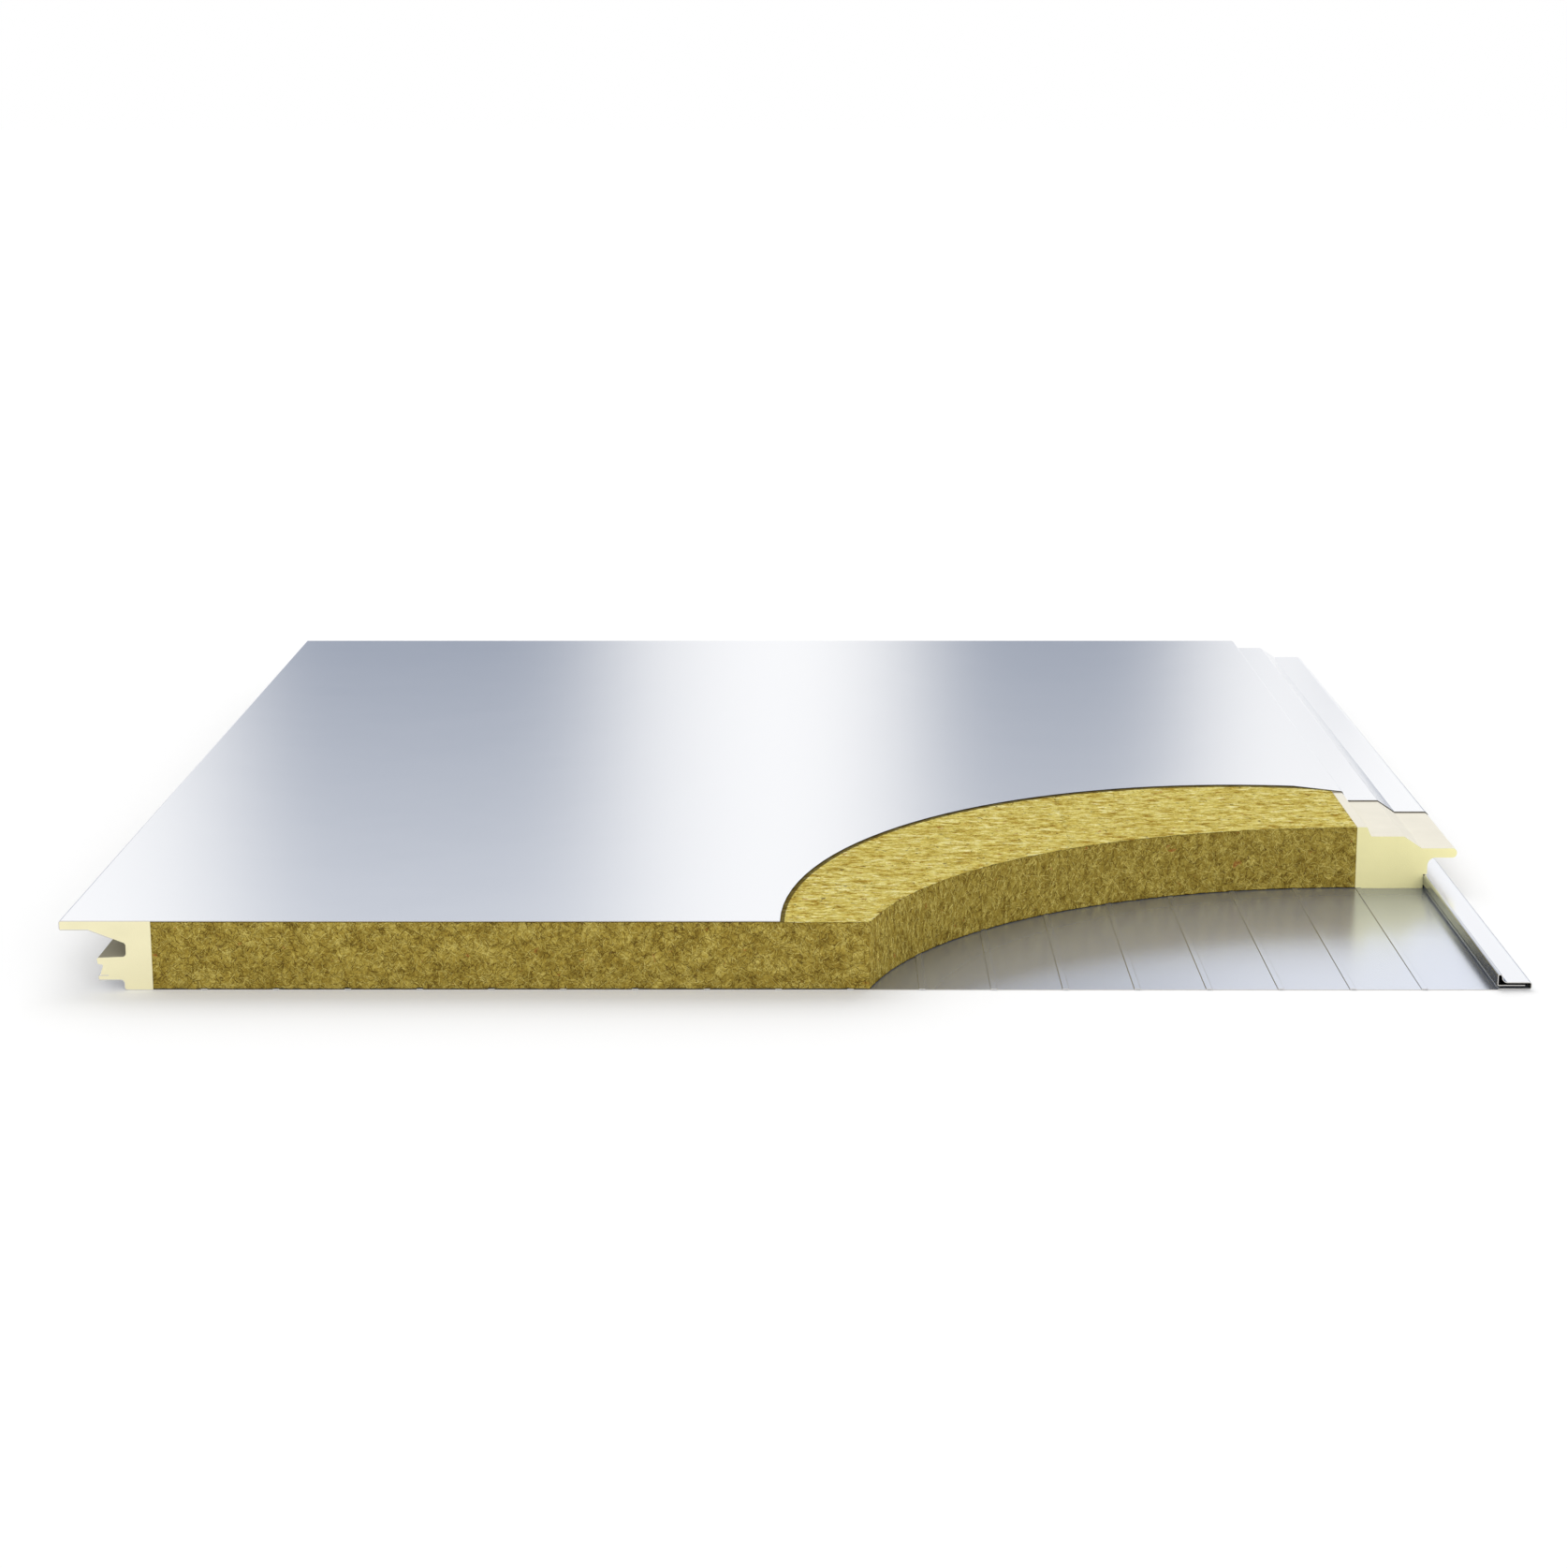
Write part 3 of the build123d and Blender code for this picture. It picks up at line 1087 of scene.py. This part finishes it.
@dataclass(frozen=True)
class Card:
    """A dark card in the room, between two bearings in degrees and two heights from 0 to 1."""

    left: float
    right: float
    low: float
    high: float
    colour: Colour
    soft: float = 0.6
    fade: float = 0.015

    def cover(self, graph: Graph, bearing: Socket, height: Socket) -> Socket:
        """Finds where the card stands.

        Args:
            graph: The room's graph.
            bearing: The bearing of a direction, in radians.
            height: Its height.

        Returns:
            An output that is 1 on the card.
        """
        left, right, soft = map(math.radians, (self.left, self.right, self.soft))
        across = graph.within(bearing, left, right, soft)
        return graph.product(across, graph.within(height, self.low, self.high, self.fade))


@dataclass(frozen=True)
class Lamp:
    """A wide soft lamp far away, whose strength is pi where white comes out white. Angles are in degrees."""

    name: str
    strength: float
    bearing: float  # to the right of straight ahead
    elevation: float
    spread: float

    def hang(self) -> None:
        """Hangs the lamp, which the steel doesn't mirror."""
        data = bpy.data.lights.new(self.name, "SUN")
        data.energy = self.strength
        data.angle = math.radians(self.spread)
        lamp = bpy.data.objects.new(self.name, data)
        lamp.rotation_euler = (math.radians(self.elevation - 90.0), 0.0, math.radians(-self.bearing))
        lamp.visible_glossy = False
        bpy.context.scene.collection.objects.link(lamp)


@dataclass(frozen=True)
class Studio:
    """Camera, floor, lamps and the soft room that the metal mirrors.

    The camera values are real sizes: the lens follows from the panel's perspective. Each band
    is a bearing in degrees, to the right of straight ahead, with how white the room is there,
    and the bands repeat all round the room. Between them, the room's colours follow the height.
    """

    focal_px: float = 3326.0
    axis_px: float = 871.3
    pitch_deg: float = 12.984
    eye: tuple[float, float, float] = (0.0121, -2.6721, 0.6397)
    sensor_mm: float = 36.0
    floor_size: float = 60.0
    floor_white: float = 0.895
    floor_lift: float = 0.075
    dome: float = 0.62
    second_mirror: float = 0.02  # how bright the room's left half is in a second mirror image
    bearing_limit: float = 30.0
    bands: tuple[tuple[float, float], ...] = (
        (-18.0, 0.0),
        (-15.8, 1.0),
        (-13.9, 1.0),
        (-12.4, 0.85),
        (-11.2, 0.52),
        (-10.2, 0.16),
        (-9.4, 0.0),
        (-5.6, 0.0),
        (-4.7, 0.12),
        (-3.9, 0.4),
        (-3.0, 0.72),
        (-2.0, 0.9),
        (-1.0, 1.0),
        (-0.1, 1.0),
        (0.8, 0.86),
        (1.6, 0.62),
        (2.3, 0.27),
        (3.2, 0.03),
        (5.6, 0.03),
        (6.4, 0.2),
        (7.2, 0.6),
        (8.2, 0.87),
        (9.5, 1.0),
        (15.5, 1.0),
        (18.0, 0.0),
    )
    band_colour: Colour = (0.99, 0.993, 1.0)
    band_top: float = 0.5
    band_fade: float = 0.1
    gap_colours: Stops = (
        (0.09, (0.015, 0.060, 0.16)),
        (0.38, (0.94, 0.96, 1.0)),
        (0.45, (0.80, 0.83, 0.90)),
        (0.60, (0.78, 0.81, 0.87)),
        (1.0, (0.66, 0.69, 0.75)),
    )
    cards: tuple[Card, ...] = (
        Card(9.3, 10.1, 0.0, 0.17, (0.06, 0.09, 0.20), 0.3),
        Card(1.5, 7.0, 0.345, 0.8, (0.14, 0.12, 0.08), 1.0, 0.02),
    )
    lamps: tuple[Lamp, ...] = (
        Lamp("back_light", 1.65, -10.0, 40.0, 60.0),
        Lamp("front_fill", 1.0, 162.0, 20.0, 50.0),
    )

    def build(self) -> None:
        """Sets up the studio, and shows its colours as they are."""
        self.place_camera()
        self.lay_floor()
        self.light_room()
        for lamp in self.lamps:
            lamp.hang()
        bpy.context.scene.view_settings.view_transform = "Standard"

    def place_camera(self) -> None:
        """Sets the camera to the photograph's view."""
        width, height = PHOTO_SIZE
        data = bpy.data.cameras.new("camera")
        data.sensor_width = self.sensor_mm
        data.lens = data.sensor_width * self.focal_px / height
        data.shift_x = (width / 2 - self.axis_px) / height
        camera = bpy.data.objects.new("camera", data)
        camera.location = self.eye
        camera.rotation_euler = (math.radians(90.0 - self.pitch_deg), 0.0, 0.0)
        bpy.context.scene.collection.objects.link(camera)
        bpy.context.scene.camera = camera

    def lay_floor(self) -> None:
        """Lays the white floor that takes the panel's shadow."""
        bpy.ops.mesh.primitive_plane_add(size=self.floor_size, location=(0.0, 0.0, 0.0))
        floor = bpy.context.object
        floor.name = "studio_floor"
        material, graph = new_material("studio_white")
        rays = graph.add("ShaderNodeLightPath").outputs
        seen = graph.math("MAXIMUM", rays["Is Camera Ray"], rays["Is Glossy Ray"])
        diffuse = graph.add("ShaderNodeBsdfDiffuse", Color=opaque(grey(self.floor_white)))
        glow = graph.add("ShaderNodeEmission", Color=WHITE, Strength=graph.product(seen, self.floor_lift))
        both = graph.add("ShaderNodeAddShader", i0=diffuse.outputs[0], i1=glow.outputs[0])
        graph.add("ShaderNodeOutputMaterial", Surface=both.outputs[0])
        floor.data.materials.append(material)

    def light_room(self) -> None:
        """Fills the room with soft light, in the bands that the satin steel mirrors."""
        world = bpy.data.worlds.new("room")
        bpy.context.scene.world = world
        world.use_nodes = True
        world.cycles.sampling_method = "NONE"
        graph = Graph(world.node_tree)
        direction = graph.split(graph.add("ShaderNodeTexCoord").outputs["Generated"])
        bearing = graph.math("ARCTAN2", direction["X"], direction["Y"])
        mirrored = self.mirrored_colour(graph, bearing, direction["Z"])
        rays = graph.add("ShaderNodeLightPath").outputs
        twice = graph.above(rays["Glossy Depth"], 1.5)
        again = graph.product(twice, graph.inverse(graph.above(bearing, 0.0)))
        level = graph.inverse(graph.product(again, 1.0 - self.second_mirror))
        shown = graph.add("ShaderNodeBackground", Color=WHITE, Strength=self.dome)
        glossy = graph.add("ShaderNodeBackground", Color=mirrored, Strength=level)
        white = graph.add("ShaderNodeBackground", Color=WHITE, Strength=1.0)
        for ray, room in ((rays["Is Glossy Ray"], glossy), (rays["Is Camera Ray"], white)):
            shown = graph.add("ShaderNodeMixShader", i0=ray, i1=shown.outputs[0], i2=room.outputs[0])
        graph.add("ShaderNodeOutputWorld", Surface=shown.outputs[0])

    def mirrored_colour(self, graph: Graph, bearing: Socket, height: Socket) -> Socket:
        """Gives the colour that the steel mirrors from each direction.

        Args:
            graph: The room's graph.
            bearing: The bearing of a direction, in radians.
            height: Its height, from 0 at the horizon to 1 overhead.

        Returns:
            The colour's output.
        """
        limit = math.radians(self.bearing_limit)
        share = graph.above(graph.math("WRAP", bearing, limit, -limit), 0.0, limit)
        stops = [(0.5 + 0.5 * at / self.bearing_limit, grey(level)) for at, level in self.bands]
        standing = graph.inverse(graph.above(height, self.band_top, self.band_fade))
        band = graph.product(graph.ramp(share, stops), standing)
        colour = graph.mix(band, graph.ramp(height, self.gap_colours), self.band_colour)
        for card in self.cards:
            colour = graph.mix(card.cover(graph, bearing, height), colour, card.colour)
        return colour


LEDGE_GRAIN = WoolGrain(
    (
        (0.22, (0.39, 0.23, 0.024)),
        (0.42, (0.65, 0.51, 0.10)),
        (0.58, (0.80, 0.69, 0.19)),
        (0.80, (0.96, 0.89, 0.46)),
    ),
    Pattern(105.0, 2.0, 0.6, (0.7, 1.5, 1.0)),
    Pattern(210.0, 3.0, 1.4, (0.7, 1.5, 1.0)),
    half_range=0.2,
    own_share=0.3,
)
CUT_GRAIN = WoolGrain(
    (
        (0.25, (0.145, 0.09, 0.011)),
        (0.42, (0.315, 0.22, 0.032)),
        (0.58, (0.45, 0.345, 0.066)),
        (0.78, (0.71, 0.60, 0.18)),
    ),
    Pattern(85.0, 2.0, 0.6, LAYERS),
    Pattern(330.0, 3.0, 1.4, LAYERS),
    half_range=0.4,
    own_share=0.5,
)
# Painted light: the wool on the curved wall is made lighter than on the front, to make up for the dimmer
# recess.
WALL_GRAIN_PAINTED_LIGHT = replace(CUT_GRAIN, colours=brightened(CUT_GRAIN.colours, 1.14))

# Places on the panel, in metres
FACE_EDGE_X = 0.44
LEDGE_SHEET_Y = -0.147
# Width of the glue and painted shadow at the sheet's cut over the ledge.
LEDGE_GLUE_AND_SHADOW = 0.004


def wool_finishes(core: WoolCore) -> tuple[Material, dict[Region, Material]]:
    """Builds the finishes of the wool.

    Args:
        core: The wool, for the places where its glue shows.

    Returns:
        The block's material and that of the strands in each region.
    """
    glue_and_shadow = GlueAndShadowLine(core.low.z, core.high.z, core.sheet)
    solid = MineralWool("stone_wool", LEDGE_GRAIN, CUT_GRAIN, glue_and_shadow).build()
    ledge = MineralWool("ledge_strands", LEDGE_GRAIN, CUT_GRAIN, glue_and_shadow, 1.0).build()
    cut = MineralWool("cut_strands", LEDGE_GRAIN, CUT_GRAIN, glue_and_shadow, 0.0).build()
    wall = MineralWool("wall_strands", LEDGE_GRAIN, WALL_GRAIN_PAINTED_LIGHT, glue_and_shadow, 0.0).build()
    loose = {Region.FRONT: cut, Region.WALL: wall, Region.LEDGE_NEAR: ledge, Region.LEDGE_FAR: ledge}
    return solid, loose


def plain_finishes(core: WoolCore) -> dict[Node, Material]:
    """Builds the finishes of the sheets and the strips.

    Args:
        core: The wool, beside which the inner sheet is stained.

    Returns:
        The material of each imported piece.
    """
    outer = CoatedSteel("outer_satin_steel", (0.975, 0.98, 0.995), 0.17, FACE_EDGE_X)
    inner = BackCoatedSteel("inner_satin_steel", (0.93, 0.94, 0.97), 0.2, wool=core.wall_curve())
    # The left strip's dark skin is painted shade for the inside of its groove.
    groove_shaded = RigidFoam("faced_foam", (0.89, 0.83, 0.54), (0.38, 0.35, 0.25))
    # The right strip's sawn colour is set lighter than the foam's own: painted light for its faces in the dim
    # recess.
    sawn = RigidFoam("rigid_foam", (1.0, 0.93, 0.48), glue_and_shadow_start=LEDGE_SHEET_Y - LEDGE_GLUE_AND_SHADOW)
    return {
        Node.TOP_SHEET: outer.build(),
        Node.BOTTOM_SHEET: inner.build(),
        Node.STRIP_LEFT: groove_shaded.build(),
        Node.STRIP_RIGHT: sawn.build(),
    }


def main() -> None:
    """Builds the panel's looks, from the frame to the studio."""
    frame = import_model()
    bpy.ops.object.select_all(action="DESELECT")
    core = WoolCore(*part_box(Node.WOOL.value))
    solid, loose = wool_finishes(core)
    finishes = plain_finishes(core)
    finishes[Node.WOOL] = solid
    for node, material in finishes.items():
        dress(frame["nodes"][node.value], material)
    core.build(solid, loose)
    Studio().build()


if __name__ == "__main__":
    logging.basicConfig(level=logging.INFO)
    main()
